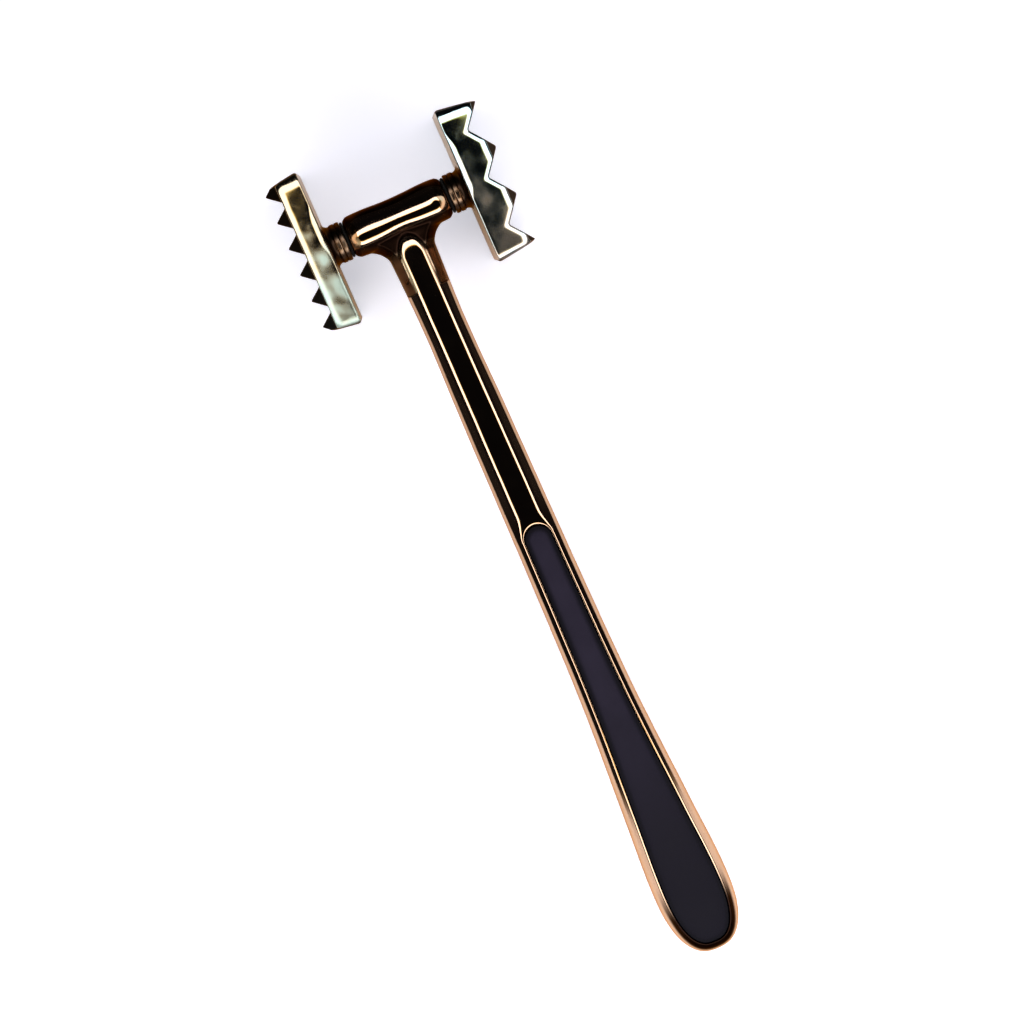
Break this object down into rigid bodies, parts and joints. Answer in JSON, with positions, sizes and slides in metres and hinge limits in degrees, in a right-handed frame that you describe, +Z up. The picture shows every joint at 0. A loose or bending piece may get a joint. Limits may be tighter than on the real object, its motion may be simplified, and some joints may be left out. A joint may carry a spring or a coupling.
{
  "type": "meat tenderizer",
  "caption": "T-shaped cast hand tool with a fine-toothed plate and a coarse-toothed plate at the ends of its crossbar, and soft grips let into both faces of a long flared handle.",
  "frame": {"origin": "middle of the underside of the tool's box, with the tool lying on its side on a flat surface", "axes": "+Z up, +Y from the handle's end towards the head, +X along the crossbar from the fine plate to the coarse plate"},
  "size_m": [0.0676, 0.2664, 0.0572],
  "materials": {
    "dark_plated_metal": "mirror-polished dark bronze plating",
    "plain_steel": "plain turned",
    "grip_rubber": "matt, very fine grain",
    "seal_rubber": "smooth satin"
  },
  "bodies": {
    "root": {"handle_casting": "dark_plated_metal", "fine_plate": "dark_plated_metal", "coarse_plate": "dark_plated_metal", "fine_lock_ring": "dark_plated_metal", "coarse_lock_ring": "dark_plated_metal", "fine_stud": "plain_steel", "coarse_stud": "plain_steel", "front_grip": "grip_rubber", "back_grip": "grip_rubber", "fine_seal": "seal_rubber", "coarse_seal": "seal_rubber"}
  },
  "joints": []
}
